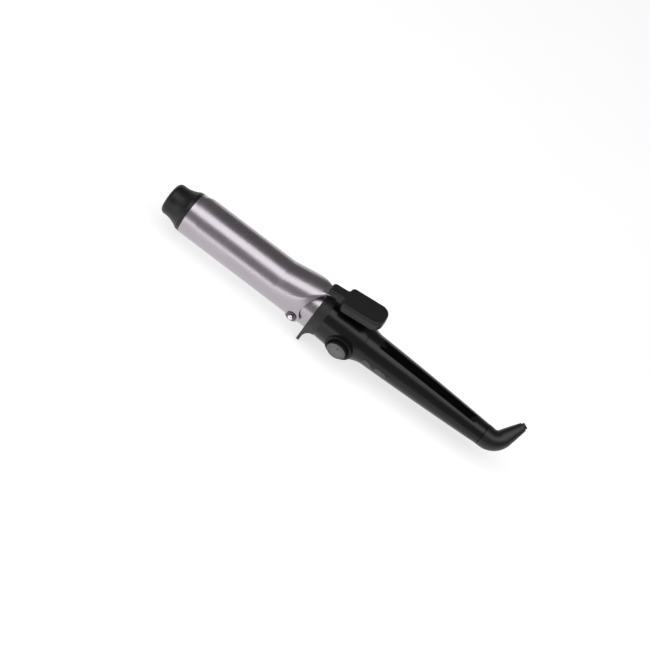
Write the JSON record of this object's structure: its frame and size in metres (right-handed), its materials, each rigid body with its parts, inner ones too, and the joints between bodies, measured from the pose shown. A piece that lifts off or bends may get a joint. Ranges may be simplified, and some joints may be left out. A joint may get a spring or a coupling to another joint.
{
  "type": "curling iron",
  "caption": "Large-barrel hair curling iron: sprung clip with thumb paddle, cool tip, stand collar, tapered handle with heat dial and push buttons, and a bent swivel cord boot.",
  "frame": {"origin": "on the barrel's axis, in the plane of the stand collar's front face, where a heat sleeve pushed over the barrel stops", "axes": "+X along the barrel's axis to the cord end, +Z to the clip's thumb lever, -Y to the side with the heat dial"},
  "size_m": [0.3527, 0.0489, 0.0732],
  "materials": {
    "lilac_metal": "satin metallic coating, lilac grey",
    "tip_plastic": "satin black heat-resistant plastic",
    "handle_plastic": "satin black plastic",
    "collar_plastic": "matt near-black plastic",
    "grip_plastic": "satin black plastic",
    "boot_plastic": "satin black flexible plastic",
    "gloss_strip": "high-gloss black inlay",
    "knob_plastic": "satin black plastic",
    "silver_cap": "satin silver paint",
    "button_plastic": "satin charcoal plastic",
    "chrome_rivet": "polished",
    "dark_bushing": "dark satin",
    "raw_aluminium": "extruded",
    "zinc_steel": "zinc plated",
    "spring_steel": "hardened spring steel",
    "black_screw": "black oxide",
    "grey_ceramic": "fired ceramic",
    "amber_film": "polyimide film",
    "glass_bead": "glass-coated bead",
    "white_sleeve": "woven glass sleeving",
    "brown_insulator": "moulded phenolic",
    "component_black": "moulded epoxy",
    "brass_metal": "turned",
    "green_board": "solder mask",
    "yellow_case": "moulded case"
  },
  "bodies": {
    "handle": {"barrel_tube": "lilac_metal", "cool_tip": "tip_plastic", "tip_insert": "raw_aluminium", "tip_screw": "zinc_steel", "heater_shell_upper": "raw_aluminium", "heater_shell_lower": "raw_aluminium", "ptc_ceramics": "grey_ceramic", "electrode_plates": "raw_aluminium", "insulation_films": "amber_film", "thermistor": "glass_bead", "thermal_fuse": "zinc_steel", "fuse_sleeve": "white_sleeve", "heater_leads": "white_sleeve", "sensor_leads": "white_sleeve", "barrel_insulator": "brown_insulator", "barrel_screws": "zinc_steel", "pivot_rivets": "chrome_rivet", "pivot_bushings": "dark_bushing", "pivot_washers": "zinc_steel", "clip_spring": "spring_steel", "spring_rivet": "zinc_steel", "stand_collar": "collar_plastic", "handle_shell_right": "handle_plastic", "handle_shell_left": "handle_plastic", "handle_screws": "black_screw", "top_strip": "gloss_strip", "dial_bezel": "knob_plastic", "potentiometer": "component_black", "potentiometer_nut": "brass_metal", "circuit_board": "green_board", "board_screws": "zinc_steel", "mains_capacitor": "yellow_case", "triac": "component_black", "control_chip": "component_black", "board_switches": "component_black", "supply_leads": "white_sleeve", "contact_brushes": "brass_metal", "brush_holder": "brown_insulator"},
    "clip": {"clip_shell": "lilac_metal", "thumb_grip": "grip_plastic", "thumb_grip_screws": "zinc_steel"},
    "dial": {"dial_knob": "knob_plastic", "dial_cap": "silver_cap", "dial_shaft": "raw_aluminium"},
    "on_press": {"on_button": "button_plastic", "on_plunger": "white_sleeve"},
    "off_press": {"off_button": "button_plastic", "off_plunger": "white_sleeve"},
    "swivel": {"swivel_core": "brown_insulator", "slip_rings": "brass_metal", "swivel_boot": "boot_plastic"}
  },
  "joints": [
    {"name": "clip_open", "type": "hinge", "parent": "handle", "child": "clip", "pos_m": [-0.0136, 0, -0.0025], "axis": [0, 1, 0], "range_deg": [0, 11], "stiffness_Nm_per_rad": 0.9, "springref_deg": -14.32, "deforming": ["clip_spring"]},
    {"name": "dial_turn", "type": "hinge", "parent": "handle", "child": "dial", "pos_m": [0.033, 0, 0], "axis": [0, -1, 0], "range_deg": [-135, 135]},
    {"name": "on_push", "type": "slide", "parent": "handle", "child": "on_press", "axis": [0, 1, 0], "range_m": [0, 0.0005], "stiffness_N_per_m": 2000, "springref_m": -0.0004},
    {"name": "off_push", "type": "slide", "parent": "handle", "child": "off_press", "axis": [0, 1, 0], "range_m": [0, 0.0005], "stiffness_N_per_m": 2000, "springref_m": -0.0004},
    {"name": "cord_swivel", "type": "hinge", "parent": "handle", "child": "swivel", "pos_m": [0.1717, 0, 0], "axis": [1, 0, 0], "continuous": true}
  ]
}
